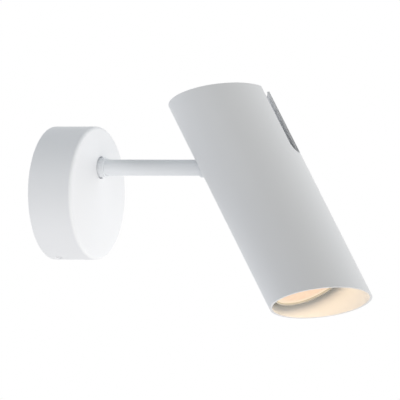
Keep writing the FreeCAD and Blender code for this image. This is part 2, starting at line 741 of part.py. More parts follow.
def check_document():
    """Stop if an object failed, a cut took nothing away or a piece has no sound shape."""
    doc.recompute()
    faults = [item.Label for item in doc.Objects if {"Invalid", "Error"} & set(item.State)]
    for item in doc.Objects:
        if item.TypeId == "PartDesign::Pocket":
            taken = item.BaseFeature.Shape.Volume - item.Shape.Volume
            if taken < TINY:
                faults.append(f"{item.Label} cuts nothing")
    for piece in nodes:
        if piece.Shape.isNull() or not piece.Shape.isValid() or not piece.Shape.Solids:
            faults.append(f"{piece.Label} has no sound shape")
    if faults:
        raise RuntimeError(f"the model has faults: {faults}")


def write_parts():
    os.makedirs("parts", exist_ok=True)
    for piece in nodes:
        piece.Shape.exportStep(f"parts/{piece.Label}.step")
        box = piece.Shape.BoundBox
        spans = [round(span, 1) for span in (box.XMin, box.XMax, box.YMin, box.YMax, box.ZMin, box.ZMax)]
        print(f"{piece.Label}: {len(piece.Shape.Solids)} solids, {piece.Shape.Volume:.0f} mm3, {spans}")


make_wall_bracket()
make_cable_grommet()
make_connection_block()
make_earth_point()
make_canopy()
make_arm()
make_knuckle()
make_pivot()
make_head_tube()
make_bridge()
make_yoke()
make_lampholder()
make_lamp()
make_leads()
check_document()
write_parts()
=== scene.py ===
# %% [markdown]
# # A pivoting spotlight wall light
# A round canopy hides the wires on the wall, a short arm stands out of it, and a slotted tube with a
# lamp in it turns round the arm's end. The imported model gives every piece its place, so this lesson
# builds the pieces that show as finer meshes in the same places, and gives every piece its finish.

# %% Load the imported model
import json
import math

import bmesh
import bpy
from mathutils import Matrix, Vector

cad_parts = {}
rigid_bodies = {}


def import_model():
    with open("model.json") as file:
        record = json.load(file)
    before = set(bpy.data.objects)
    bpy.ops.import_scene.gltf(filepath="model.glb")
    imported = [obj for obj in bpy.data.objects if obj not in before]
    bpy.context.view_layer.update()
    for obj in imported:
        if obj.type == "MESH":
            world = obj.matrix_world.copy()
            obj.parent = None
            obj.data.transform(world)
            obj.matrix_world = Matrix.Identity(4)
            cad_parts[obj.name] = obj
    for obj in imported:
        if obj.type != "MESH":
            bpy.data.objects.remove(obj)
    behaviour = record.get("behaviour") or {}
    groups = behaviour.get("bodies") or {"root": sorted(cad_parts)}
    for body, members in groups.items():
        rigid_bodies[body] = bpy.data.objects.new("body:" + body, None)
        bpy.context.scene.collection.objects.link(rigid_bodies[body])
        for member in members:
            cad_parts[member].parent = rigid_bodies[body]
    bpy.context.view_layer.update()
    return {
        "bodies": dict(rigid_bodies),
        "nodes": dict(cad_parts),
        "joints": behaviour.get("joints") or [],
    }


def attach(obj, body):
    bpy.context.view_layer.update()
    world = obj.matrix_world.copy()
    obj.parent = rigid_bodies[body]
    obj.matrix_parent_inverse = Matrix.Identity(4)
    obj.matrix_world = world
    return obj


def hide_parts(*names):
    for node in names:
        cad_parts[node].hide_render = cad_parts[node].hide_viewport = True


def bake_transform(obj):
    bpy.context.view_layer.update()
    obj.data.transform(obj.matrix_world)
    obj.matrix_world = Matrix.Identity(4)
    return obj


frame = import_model()
nodes = frame["nodes"]

# %% [markdown]
# ## The camera
# The light was photographed from a little below and to one side, with a long lens, so its edges run
# nearly parallel. A camera is an object whose own axes point right, up and back. We work out those
# three directions from the angles round the light and up from level, roll them, and set them as the
# columns of the camera's matrix. It is five metres away, so its lens has to be very long.

# %% Aim the camera
MM = 0.001
AROUND, ABOVE, ROLL = (math.radians(angle) for angle in (24.64, -13.22, 6.19))
DISTANCE = 5
MOVED_RIGHT, MOVED_DOWN = 8.01 * MM, 4.05 * MM
LENS = 726.1
aim = Vector((0.0895, 0, 0))
back = Vector((math.sin(AROUND) * math.cos(ABOVE), -math.cos(AROUND) * math.cos(ABOVE), math.sin(ABOVE)))
level = Vector((math.cos(AROUND), math.sin(AROUND), 0))
rolled = Matrix.Rotation(ROLL, 3, back)
right = rolled @ level
up = rolled @ back.cross(level)
camera = bpy.data.objects.new("camera", bpy.data.cameras.new("camera"))
camera.data.lens = LENS
camera.data.sensor_width = 36
camera.data.clip_end = 50
place = Matrix.Translation(aim + back * DISTANCE + right * MOVED_RIGHT - up * MOVED_DOWN)
camera.matrix_world = place @ Matrix((right, up, back)).transposed().to_4x4()
bpy.context.scene.collection.objects.link(camera)
bpy.context.scene.camera = camera
print("camera at", tuple(round(x, 3) for x in camera.location))

# %% [markdown]
# ## Where the head is
# Everything in the head is simplest to draw along the tube's own axis, with the pivot at zero. One
# matrix then carries it to its place on the arm's end, tilted as the light hangs at rest. The packed
# model's hinge gives the pivot's place, and its lower limit is where the tube hangs straight down, so
# it gives the tilt. The tube's two ends are heights along its axis, in millimetres as all sizes here.

# %% Place the head's own axes
TUBE_FOOT, TUBE_TOP = -101.5, 52.2
hinge = frame["joints"][0]
PIVOT = Vector(hinge["pos_m"])
RISE = hinge["pos_m"][2] / MM
TILT = math.radians(-hinge["range_deg"][0])
HEAD = Matrix.Translation(PIVOT) @ Matrix.Rotation(-TILT, 4, "Y")
mouth = HEAD @ Vector((0, 0, TUBE_FOOT * MM))
print("the tube's mouth is at", tuple(round(x, 4) for x in mouth))

# %% [markdown]
# ## Building materials from nodes
# A finish is a small network of nodes, and a few helpers keep the networks short. They add a node
# and set or link its inputs, mix two colours, work out a sum, spread a noise over a range, start a
# material, and start a node group with the three outputs that every finish here has.

# %% Helpers for nodes
def fill(tree, socket, item):
    """Link an output to an input, or set the input to a plain value."""
    if isinstance(item, bpy.types.NodeSocket):
        tree.links.new(item, socket)
    else:
        socket.default_value = item


def add(tree, kind, **inputs):
    """A node whose named inputs take a value or another node's output."""
    node = tree.nodes.new("ShaderNode" + kind)
    for name, item in inputs.items():
        fill(tree, node.inputs[name.replace("_", " ")], item)
    return node


def calculate(tree, operation, first, second):
    """The result of a Math node."""
    node = tree.nodes.new("ShaderNodeMath")
    node.operation = operation
    fill(tree, node.inputs[0], first)
    fill(tree, node.inputs[1], second)
    return node.outputs["Value"]


def blend_colors(tree, share, first, second):
    """The colour that is a share of the way from the first to the second."""
    node = tree.nodes.new("ShaderNodeMix")
    node.data_type = "RGBA"
    for socket, item in ((node.inputs[0], share), (node.inputs[6], first), (node.inputs[7], second)):
        fill(tree, socket, item)
    return node.outputs[2]


def new_material(name):
    """A material with its main shader ready to take a finish."""
    material = bpy.data.materials.new(name)
    material.use_nodes = True
    tree = material.node_tree
    return material, tree, tree.nodes["Principled BSDF"]


def spread(tree, item, low, high):
    """A noise value, which stays near a half, spread over a range."""
    node = add(tree, "MapRange", Value=item, To_Min=low, To_Max=high)
    node.inputs["From Min"].default_value = 0.3
    node.inputs["From Max"].default_value = 0.7
    return node.outputs["Result"]


def start_group(name, **kinds):
    """A node group with these inputs and a finish's three outputs, and its inner sockets."""
    group = bpy.data.node_groups.new(name, "ShaderNodeTree")
    for label, kind in kinds.items():
        group.interface.new_socket(label, in_out="INPUT", socket_type="NodeSocket" + kind)
    for label, kind in (("Color", "Color"), ("Roughness", "Float"), ("Normal", "Vector")):
        group.interface.new_socket(label, in_out="OUTPUT", socket_type="NodeSocket" + kind)
    return group, group.nodes.new("NodeGroupInput").outputs, group.nodes.new("NodeGroupOutput").inputs


print("helpers ready")

# %% [markdown]
# ## White powder coat
# The light is steel, sprayed with a white powder that is baked until it flows. That leaves a satin
# skin with a fine unevenness, like the peel of an orange, less than a millimetre across. A flat white
# would look like plastic film. Six painted pieces share the effect, so it is a node group: a fine
# noise gives the skin its bumps, and a broad one shifts tone and gloss a little across a hand's width.

# %% Make the powder coat group
powder, given, found = start_group("powder_coat", Paint="Color", Peel="Float", Gloss="Float")
spot = add(powder, "TexCoord").outputs["Object"]
peel = add(powder, "TexNoise", Vector=spot, Scale=1500.0, Detail=2.0, Roughness=0.55)
cloud = add(powder, "TexNoise", Vector=spot, Scale=28.0, Detail=3.0, Roughness=0.6)
shade = blend_colors(powder, 0.03, given["Paint"], (0.62, 0.66, 0.72, 1))
tone = spread(powder, cloud.outputs["Fac"], 0.0, 1.0)
powder.links.new(blend_colors(powder, tone, given["Paint"], shade), found["Color"])
offset = spread(powder, cloud.outputs["Fac"], -0.04, 0.04)
powder.links.new(calculate(powder, "ADD", given["Gloss"], offset), found["Roughness"])
skin = add(powder, "Bump", Strength=given["Peel"], Distance=0.00002, Height=peel.outputs["Fac"])
powder.links.new(skin.outputs["Normal"], found["Normal"])
print("group:", powder.name, [socket.name for socket in powder.interface.items_tree])

# %% Paint finishes
def apply_group(tree, shader, group, **inputs):
    """Put a node group in front of the main shader's colour, roughness and normal."""
    node = tree.nodes.new("ShaderNodeGroup")
    node.node_tree = group
    for name, item in inputs.items():
        node.inputs[name.replace("_", " ")].default_value = item
    tree.links.new(node.outputs["Color"], shader.inputs["Base Color"])
    tree.links.new(node.outputs["Roughness"], shader.inputs["Roughness"])
    tree.links.new(node.outputs["Normal"], shader.inputs["Normal"])
    return node


def powder_paint(name, paint, gloss):
    material, tree, shader = new_material(name)
    apply_group(tree, shader, powder, Paint=(*paint, 1), Peel=0.35, Gloss=gloss)
    return material


# One white powder coat in three tones. The arm's and the tube's are darker than the canopy's: painted shade,
# where these pieces look darker than the canopy under the same light.
canopy_paint = powder_paint("canopy_paint", (0.88, 0.893, 0.91), 0.5)
arm_paint_shaded = powder_paint("arm_paint_shaded", (0.82, 0.845, 0.87), 0.45)
tube_paint_shaded = powder_paint("tube_paint_shaded", (0.735, 0.743, 0.749), 0.5)
print("paints:", canopy_paint.name, arm_paint_shaded.name, tube_paint_shaded.name)

# %% [markdown]
# ## Metals
# Inside there are zinc plated plates, steel screws and brass contacts. Worked metal is never even: it
# keeps the direction that it was rolled, turned or drawn in. A noise that is stretched along one
# axis gives fine lines, and a cloudy one gives the dull patches of plating. This is a group too,
# because only the tint, the lines' direction and the dullness change from metal to metal.

# %% Make the worked metal group
metal, given, found = start_group(
    "worked_metal", Tint="Color", Stain="Color", Lay="Vector", Dullness="Float"
)
spot = add(metal, "TexCoord").outputs["Object"]
drawn = add(metal, "Mapping", Vector=spot, Scale=given["Lay"])
lines = add(metal, "TexNoise", Vector=drawn.outputs["Vector"], Scale=400.0, Detail=3.0)
patch = add(metal, "TexNoise", Vector=spot, Scale=220.0, Detail=4.0, Roughness=0.65)
stained = spread(metal, patch.outputs["Fac"], 0.0, 0.6)
metal.links.new(blend_colors(metal, stained, given["Tint"], given["Stain"]), found["Color"])
uneven = spread(metal, lines.outputs["Fac"], -0.07, 0.09)
metal.links.new(calculate(metal, "ADD", given["Dullness"], uneven), found["Roughness"])
scored = add(metal, "Bump", Strength=0.25, Distance=0.00001, Height=lines.outputs["Fac"])
metal.links.new(scored.outputs["Normal"], found["Normal"])
print("group:", metal.name)

# %% Metal finishes
def bare_metal(name, tint, stain, lay, dullness):
    material, tree, shader = new_material(name)
    shader.inputs["Metallic"].default_value = 1
    apply_group(tree, shader, metal, Tint=(*tint, 1), Stain=(*stain, 1), Lay=lay, Dullness=dullness)
    return material


zinc = bare_metal("zinc_plate", (0.62, 0.64, 0.66), (0.46, 0.49, 0.50), (1, 0.08, 1), 0.36)
steel = bare_metal("bright_steel", (0.66, 0.66, 0.65), (0.52, 0.52, 0.52), (1, 1, 0.1), 0.26)
brass = bare_metal("brass", (0.80, 0.60, 0.28), (0.66, 0.47, 0.21), (1, 1, 0.1), 0.28)
tinned = bare_metal("tinned_copper", (0.70, 0.69, 0.66), (0.58, 0.56, 0.53), (1, 1, 0.15), 0.34)
print("metals:", zinc.name, steel.name, brass.name, tinned.name)

# %% [markdown]
# ## Plastics, rubber and wire covers
# Moulded parts take their skin from the mould, which is spark eroded to a fine even grain. A small
# cell pattern gives the grain and a noise a slight change of tone. The same group serves the
# connection block, the grommet, the hinge's washers, the lamp's body and the leads, each with its own
# colour and grain.

# %% Make the moulded group
moulded, given, found = start_group(
    "moulded", Body="Color", Shade="Color", Grain="Float", Dullness="Float"
)
spot = add(moulded, "TexCoord").outputs["Object"]
grain = add(moulded, "TexVoronoi", Vector=spot, Scale=given["Grain"])
mottle = add(moulded, "TexNoise", Vector=spot, Scale=140.0, Detail=3.0)
tone = spread(moulded, mottle.outputs["Fac"], 0.0, 1.0)
moulded.links.new(blend_colors(moulded, tone, given["Body"], given["Shade"]), found["Color"])
uneven = spread(moulded, mottle.outputs["Fac"], -0.05, 0.05)
moulded.links.new(calculate(moulded, "ADD", given["Dullness"], uneven), found["Roughness"])
eroded = add(moulded, "Bump", Strength=0.3, Distance=0.00002, Height=grain.outputs["Distance"])
moulded.links.new(eroded.outputs["Normal"], found["Normal"])
print("group:", moulded.name)

# %% Moulded finishes
def plastic(name, body, shade, grain, dullness):
    material, tree, shader = new_material(name)
    apply_group(tree, shader, moulded, Body=(*body, 1), Shade=(*shade, 1), Grain=grain, Dullness=dullness)
    return material


block_plastic = plastic("block_plastic", (0.80, 0.80, 0.77), (0.74, 0.74, 0.70), 1800.0, 0.42)
rubber = plastic("rubber", (0.045, 0.045, 0.048), (0.03, 0.03, 0.032), 2400.0, 0.62)
nylon = plastic("nylon", (0.78, 0.77, 0.73), (0.70, 0.69, 0.64), 1600.0, 0.38)
# The lamp's body is white plastic. This darker warm beige is painted shade, tinted by the lamp's warm light,
# for the gap round the lens.
LAMP_BODY_SHADED = ((0.62, 0.585, 0.51), (0.56, 0.525, 0.45), 2000.0, 0.40)
lamp_white = plastic("lamp_white", *LAMP_BODY_SHADED)
silicone = plastic("silicone", (0.60, 0.60, 0.58), (0.52, 0.52, 0.50), 1500.0, 0.55)
print("moulded:", block_plastic.name, rubber.name, nylon.name, lamp_white.name, silicone.name)

# %% [markdown]
# ## Finishes that only one piece has
# The earth wire is green with a yellow stripe wound round it. The lampholder is unglazed ceramic,
# speckled with fine dark grains.

# %% Striped wire
striped, tree, shader = new_material("earth_stripe")
spot = add(tree, "TexCoord").outputs["Object"]
wound = add(tree, "Mapping", Vector=spot, Rotation=(0.5, 0.3, 0.0))
bands = add(tree, "TexWave", Vector=wound.outputs["Vector"], Scale=75.0, Distortion=0.4)
edge = add(tree, "ValToRGB", Fac=bands.outputs["Fac"])
edge.color_ramp.interpolation = "CONSTANT"
edge.color_ramp.elements[0].color = (0.04, 0.26, 0.06, 1)
edge.color_ramp.elements[1].color = (0.75, 0.55, 0.03, 1)
edge.color_ramp.elements[1].position = 0.6
tree.links.new(edge.outputs["Color"], shader.inputs["Base Color"])
shader.inputs["Roughness"].default_value = 0.45
print("material:", striped.name)

# %% Ceramic
ceramic, tree, shader = new_material("ceramic")
spot = add(tree, "TexCoord").outputs["Object"]
specks = add(tree, "TexVoronoi", Vector=spot, Scale=900.0)
dark = add(tree, "MapRange", Value=specks.outputs["Distance"], From_Min=0.12, From_Max=0.02)
powdery = add(tree, "TexNoise", Vector=spot, Scale=1300.0, Detail=4.0, Roughness=0.7)
tone = spread(tree, powdery.outputs["Fac"], 0, 1)
body = blend_colors(tree, tone, (0.78, 0.76, 0.71, 1), (0.70, 0.68, 0.62, 1))
faint = calculate(tree, "MULTIPLY", dark.outputs["Result"], 0.5)
color = blend_colors(tree, faint, body, (0.30, 0.28, 0.25, 1))
tree.links.new(color, shader.inputs["Base Color"])
pores = add(tree, "Bump", Strength=0.4, Distance=0.00003, Height=powdery.outputs["Fac"])
tree.links.new(pores.outputs["Normal"], shader.inputs["Normal"])
shader.inputs["Roughness"].default_value = 0.7
print("material:", ceramic.name)

# %% [markdown]
# ## The lit lamp
# The lamp's front is a frosted lens that glows a warm white, a little pink in the middle and paler
# at its edge. An emission colour makes it glow: a soft cell pattern stands for the tiny prisms moulded
# in it, and the base stays dark so that the room's light adds little. The lamp's plastic rim lets some
# of that light out to the side, so its material glows faintly too, but only in a band behind the front
# edge. Behind the lens, the lamp's board is white with a yellow phosphor disc in its middle. The pale
# edge, the band and the disc follow the lamp's own axis: a Mapping node in its Texture mode turns the
# coordinates into the head's frame.

# %% Coordinates along the head
def along_head(tree):
    """Object coordinates with zero at the pivot and Z up along the tube."""
    spot = add(tree, "TexCoord").outputs["Object"]
    turned_back = add(tree, "Mapping", Vector=spot, Location=tuple(PIVOT), Rotation=(0, -TILT, 0))
    turned_back.vector_type = "TEXTURE"
    return turned_back.outputs["Vector"]


def from_axis(tree, spot):
    """The distance of a point from the tube's own axis."""
    flat = add(tree, "VectorMath", Vector=spot)
    flat.operation = "MULTIPLY"
    flat.inputs[1].default_value = (1, 1, 0)
    length = add(tree, "VectorMath", Vector=flat.outputs["Vector"])
    length.operation = "LENGTH"
    return length.outputs["Value"]


print("the head's coordinates ready")

# %% Make the lens finish
lens_glow, tree, shader = new_material("lens_glow")
spot = along_head(tree)
prisms = add(tree, "TexVoronoi", Vector=spot, Scale=420.0)
prisms.feature = "SMOOTH_F1"
milky = add(tree, "TexNoise", Vector=spot, Scale=120.0, Detail=3.0)
glow = blend_colors(tree, prisms.outputs["Distance"], (0.78, 0.565, 0.40, 1), (0.68, 0.465, 0.31, 1))
glow = blend_colors(tree, spread(tree, milky.outputs["Fac"], 0.0, 0.3), glow, (0.82, 0.54, 0.365, 1))
edge = add(tree, "MapRange", Value=from_axis(tree, spot), From_Min=19 * MM, From_Max=23.5 * MM)
glow = blend_colors(tree, edge.outputs["Result"], glow, (0.76, 0.64, 0.48, 1))
tree.links.new(glow, shader.inputs["Emission Color"])
shader.inputs["Emission Strength"].default_value = 1
shader.inputs["Base Color"].default_value = (0.16, 0.14, 0.12, 1)
faceted = add(tree, "Bump", Strength=0.5, Distance=0.0002, Height=prisms.outputs["Distance"])
tree.links.new(faceted.outputs["Normal"], shader.inputs["Normal"])
shader.inputs["Roughness"].default_value = 0.35
print("material:", lens_glow.name)

# %% Make the lamp rim's finish
# The rim takes the same darker warm beige: painted shade round the lens.
lamp_rim = plastic("lamp_rim", *LAMP_BODY_SHADED)
tree = lamp_rim.node_tree
shader = tree.nodes["Principled BSDF"]
height = add(tree, "SeparateXYZ", Vector=along_head(tree)).outputs["Z"]
behind_front = add(tree, "MapRange", Value=height, From_Min=-86.3 * MM, From_Max=-86.1 * MM)
below_cup = add(tree, "MapRange", Value=height, From_Min=-78.0 * MM, From_Max=-80.0 * MM)
band = calculate(tree, "MULTIPLY", behind_front.outputs["Result"], below_cup.outputs["Result"])
leak = blend_colors(tree, band, (0, 0, 0, 1), (0.09, 0.07, 0.03, 1))
tree.links.new(leak, shader.inputs["Emission Color"])
shader.inputs["Emission Strength"].default_value = 1
print("material:", lamp_rim.name)

# %% Make the board's finish
board_white, tree, shader = new_material("board_white")
spot = along_head(tree)
rim = add(tree, "MapRange", Value=from_axis(tree, spot), From_Min=8.3 * MM, From_Max=8.1 * MM)
chips = add(tree, "TexNoise", Vector=spot, Scale=600.0, Detail=2.0)
yellow = blend_colors(tree, chips.outputs["Fac"], (0.80, 0.62, 0.10, 1), (0.74, 0.54, 0.07, 1))
color = blend_colors(tree, rim.outputs["Result"], (0.80, 0.80, 0.78, 1), yellow)
tree.links.new(color, shader.inputs["Base Color"])
tree.links.new(spread(tree, chips.outputs["Fac"], 0.35, 0.5), shader.inputs["Roughness"])
print("material:", board_white.name)

# %% [markdown]
# ## Turned shapes
# Most pieces of this light are made on a lathe or rolled into tubes, so most shapes here are turned
# too. We draw half of a section as a few points, each a distance along the axis and a radius, and
# bmesh spins it through a full turn. A section that starts and ends on the axis makes a solid with
# closed poles, and one that doesn't is closed into a ring.

# %% Turn a section round an axis
ALONG_ARM = Vector((1, 0, 0))
ALONG_TUBE = Vector((0, 0, 1))


def turned(axis, section, steps=96):
    """A solid of revolution from points (distance along the axis, radius), in millimetres."""
    bm = bmesh.new()
    out = Vector((0, 0, 1)) if axis == ALONG_ARM else Vector((1, 0, 0))
    rim = [bm.verts.new((axis * along + out * radius) * MM) for along, radius in section]
    pairs = zip(rim, rim[1:]) if section[0][1] == 0 else zip(rim, rim[1:] + rim[:1])
    edges = [bm.edges.new(pair) for pair in pairs]
    bmesh.ops.spin(
        bm, geom=rim + edges, cent=(0, 0, 0), axis=axis, angle=math.tau, steps=steps, use_merge=True
    )
    bmesh.ops.remove_doubles(bm, verts=bm.verts, dist=1e-7)
    bmesh.ops.recalc_face_normals(bm, faces=bm.faces)
    return bm


print("turned() ready")

# %% [markdown]
# ## Soft edges
# No real edge is perfectly sharp: paint rounds it, or a tool breaks it. A small bevel on each sharp
# edge catches the light as the real one does. We pick edges by the angle between their two faces.

# %% Break sharp edges
def soften(bm, width, segments=2, wanted=lambda edge: True):
    """Round the sharp edges that a test picks, and say how many there were."""
    sharp = [e for e in bm.edges if e.is_manifold and e.calc_face_angle() > math.radians(38) and wanted(e)]
    bmesh.ops.bevel(
        bm, geom=sharp, offset=width * MM, offset_type="OFFSET", segments=segments, profile=0.5,
        affect="EDGES", clamp_overlap=True, material=-1,
    )
    return len(sharp)


# %% [markdown]
# ## Holes and slots
# A hole is easiest to cut: a second shape marks what is taken away, and a Boolean modifier removes
# it. The same modifier can make two shapes one. We read the result back into a bmesh straight away,
# so that its new edges can be softened too.

# %% Cut and fuse shapes
def loose_object(bm, name):
    """An object with a bmesh's shape, linked to the scene. The bmesh is used up."""
    mesh = bpy.data.meshes.new(name)
    bm.to_mesh(mesh)
    bm.free()
    shape = bpy.data.objects.new(name, mesh)
    bpy.context.scene.collection.objects.link(shape)
    return shape


def evaluated(item):
    """An object's final shape, with its modifiers applied. The object is used up."""
    seen = item.evaluated_get(bpy.context.evaluated_depsgraph_get())
    bm = bmesh.new()
    bm.from_mesh(bpy.data.meshes.new_from_object(seen))
    bpy.data.objects.remove(item)
    return bm


def combined(operation, bm, tools, merge):
    """A shape after a Boolean with each tool, with points closer than merge made one."""
    shape = loose_object(bm, "shape")
    tools = [loose_object(tool, "tool") for tool in tools]
    for tool in tools:
        modifier = shape.modifiers.new("combine", "BOOLEAN")
        modifier.operation = operation
        modifier.object = tool
        modifier.solver = "EXACT"
    result = evaluated(shape)
    for tool in tools:
        bpy.data.objects.remove(tool)
    bmesh.ops.remove_doubles(result, verts=result.verts, dist=merge * MM)
    return result


def cut(bm, *cutters):
    """What is left of a shape when the cutters are taken out of it."""
    return combined("DIFFERENCE", bm, cutters, 0.02)


def fused(first, second):
    """Two shapes made one."""
    return combined("UNION", first, [second], 0.01)


def rod(start, end, radius, steps=48):
    """A round rod between two points in millimetres, used as a cutter or a blank."""
    bm = bmesh.new()
    run = Vector(end) - Vector(start)
    bmesh.ops.create_cone(
        bm, cap_ends=True, segments=steps, radius1=radius * MM, radius2=radius * MM, depth=run.length * MM
    )
    middle = (Vector(start) + Vector(end)) / 2 * MM
    turn = run.to_track_quat("Z", "Y").to_matrix().to_4x4()
    bmesh.ops.transform(bm, matrix=Matrix.Translation(middle) @ turn, verts=bm.verts)
    return bm


def block(low, high):
    """A box between two corners in millimetres, used as a cutter or a blank."""
    bm = bmesh.new()
    bmesh.ops.create_cube(bm, size=1)
    low, high = Vector(low) * MM, Vector(high) * MM
    bmesh.ops.scale(bm, vec=high - low, verts=bm.verts)
    bmesh.ops.translate(bm, vec=(low + high) / 2, verts=bm.verts)
    return bm


def upright_rods(places, low, high, radius, steps):
    """A rod along Z at each (x, y) place."""
    return [rod((x, y, low), (x, y, high), radius, steps) for x, y in places]


print("cut(), fused(), rod() and block() ready")

# %% [markdown]
# ## Setting a piece in the frame
# A finished mesh gets smooth shading, with creases kept where faces meet at more than 35 degrees. A piece on
# one body gets a Weighted Normal modifier, which makes the big faces decide the shading, so the flats beside
# a small bevel stay flat, and rides on that body. Its node in the imported model is hidden. A piece that
# crosses the hinge is handed two bodies and the stretch between them, but nothing uses them, so it rides on
# no body and stays where it was drawn.

# %% Finish a piece
def set_piece(bm, name, material, body, node, into=None):
    """Make a bmesh the shown piece for one node, riding on one body, or on none when two are given."""
    bmesh.ops.recalc_face_normals(bm, faces=bm.faces)
    if into:
        bmesh.ops.transform(bm, matrix=into, verts=bm.verts)
    piece = loose_object(bm, name)
    piece.data.shade_smooth()
    piece.data.set_sharp_from_angle(angle=math.radians(35))
    piece.data.materials.append(material)
    if isinstance(body, str):
        normals = piece.modifiers.new("even_normals", "WEIGHTED_NORMAL")
        normals.keep_sharp = True
        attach(piece, body)
    else:
        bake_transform(piece)
    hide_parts(node)
    low, high = (Vector(corner) / MM for corner in (piece.bound_box[0], piece.bound_box[6]))
    print(name, len(piece.data.polygons), "faces,", tuple(round(x, 1) for x in high - low), "mm")
    return piece


# %% [markdown]
# ## The canopy
# The canopy is a shallow cup spun or drawn from sheet steel, with its open side to the wall. Its front
# edge has a round of 2 mm, wide enough for the eye to see. The collar of the arm stands in a hole
# above its middle, with a thin dark gap all round, and a small screw in the top and bottom of its
# side holds it to the bracket. We turn the cup, round its front edge, cut the holes and break the rest.

# %% Build the canopy
CANOPY_FRONT, CANOPY_INSIDE = 29, 27.5
CANOPY_RADIUS, CANOPY_BORE = 41.49, 40
FIXING_OUT, FIXING_HOLE = 7, 2.03
COLLAR_HOLE = 7


def on_front_edge(edge):
    near_rim = CANOPY_RADIUS - 0.4
    return all(v.co.x > (CANOPY_FRONT - 0.1) * MM and v.co.yz.length > near_rim * MM for v in edge.verts)


cup_section = [
    (CANOPY_INSIDE, 0), (CANOPY_INSIDE, CANOPY_BORE), (0, CANOPY_BORE), (0, CANOPY_RADIUS),
    (CANOPY_FRONT, CANOPY_RADIUS), (CANOPY_FRONT, 0),
]
cup = turned(ALONG_ARM, cup_section, 128)
front = soften(cup, 2, 8, on_front_edge)
collar_hole = rod((CANOPY_INSIDE - 2.5, 0, RISE), (CANOPY_FRONT + 3, 0, RISE), COLLAR_HOLE)
screw_holes = rod((FIXING_OUT, 0, -45), (FIXING_OUT, 0, 45), FIXING_HOLE, 32)
cup = cut(cup, collar_hole, screw_holes)
rest = soften(cup, 0.25, 3)
set_piece(cup, "canopy_cup", canopy_paint, "wall_side", "canopy")
print("rounded", front, "front edges and", rest, "others")

# %% [markdown]
# ## The arm
# The arm is a plain tube. A collar stands on it in the canopy's hole, and fine lines round it look
# like a thread. They are drawn as separate rings, because a thread's slope wouldn't show at this size.
# A sleeve with a slightly larger diameter is pushed over the arm's other end, where the photograph
# shows a small step just before the tube. The sleeve has a flat on each side for the yoke's washers,
# cut here with two blocks, and a hole across it for the pivot screws.

# %% Build the arm and the collar
ARM_START, ARM_END = 19, 119.5
ARM_RADIUS, ARM_BORE = 5, 4
SNUG_BORE = ARM_RADIUS + 0.03
COLLAR_START, COLLAR_END, COLLAR_RADIUS = 27.5, 32.8, 6.2
RING_START, RING_PITCH, RING_DEPTH, RINGS = 29.2, 0.8, 0.3, 4
arm_section = [
    (ARM_START, ARM_BORE), (ARM_START, ARM_RADIUS), (ARM_END, ARM_RADIUS), (ARM_END, ARM_BORE),
]
arm = turned(ALONG_ARM, arm_section, 64)
soften(arm, 0.25)
to_arm = Matrix.Translation((0, 0, RISE * MM))
set_piece(arm, "arm_rod", arm_paint_shaded, "wall_side", "arm_tube", to_arm)
collar_section = [(COLLAR_START, SNUG_BORE), (COLLAR_START, COLLAR_RADIUS)]
for ring in range(RINGS):
    x = RING_START + ring * RING_PITCH
    collar_section += [
        (x, COLLAR_RADIUS), (x + RING_PITCH / 4, COLLAR_RADIUS - RING_DEPTH),
        (x + RING_PITCH / 2, COLLAR_RADIUS),
    ]
collar_section += [(COLLAR_END, COLLAR_RADIUS), (COLLAR_END, SNUG_BORE)]
collar = turned(ALONG_ARM, collar_section, 64)
soften(collar, 0.1)
set_piece(collar, "arm_collar", arm_paint_shaded, "wall_side", "root_collar", to_arm)

# %% Build the sleeve
SLEEVE_START, SLEEVE_END, SLEEVE_RADIUS = -35, 8, 6.1
SOCKET_END = -13
FLAT_START, FLAT_OUT = -10, 5.5
CROSS_HOLE = 2.03
sleeve_section = [
    (SLEEVE_START, SNUG_BORE), (SLEEVE_START, SLEEVE_RADIUS), (SLEEVE_END, SLEEVE_RADIUS),
    (SLEEVE_END, ARM_BORE), (SOCKET_END, ARM_BORE), (SOCKET_END, SNUG_BORE),
]
sleeve = turned(ALONG_ARM, sleeve_section, 72)
flats = [block((FLAT_START, low, -10), (20, low + 6, 10)) for low in (FLAT_OUT, -FLAT_OUT - 6)]
sleeve = cut(sleeve, *flats, rod((0, -10, 0), (0, 10, 0), CROSS_HOLE, 32))
soften(sleeve, 0.2)
to_pivot = Matrix.Translation(PIVOT)
set_piece(sleeve, "arm_sleeve", arm_paint_shaded, "wall_side", "arm_knuckle", to_pivot)

# %% [markdown]
# ## The head's tube
# The tube is 60 mm across with a 1.5 mm wall. Both its ends are cut on the same slope, and a slot on
# each side runs up from the pivot to the upper rim, so that the head can turn past the arm. Two
# sloping cuts would do, but since both slopes are the same we can turn a plain tube and shear it: each
# point slides along the axis by its distance from it, so the walls stay straight and both rims lean.
# A cutter with a round foot then takes out both slots.

# %% Build the head's tube
RIM_LEAN = math.tan(math.radians(20))
TUBE_RADIUS, TUBE_BORE = 30, 28.5
SLOT_ACROSS, SLOT_FOOT = 13, -1
shell_section = [
    (TUBE_FOOT, TUBE_BORE), (TUBE_FOOT, TUBE_RADIUS), (TUBE_TOP, TUBE_RADIUS), (TUBE_TOP, TUBE_BORE),
]
shell = turned(ALONG_TUBE, shell_section, 240)
shear = Matrix(((1, 0, 0, 0), (0, 1, 0, 0), (-RIM_LEAN, 0, 1, 0), (0, 0, 0, 1)))
bmesh.ops.transform(shell, matrix=shear, verts=shell.verts)


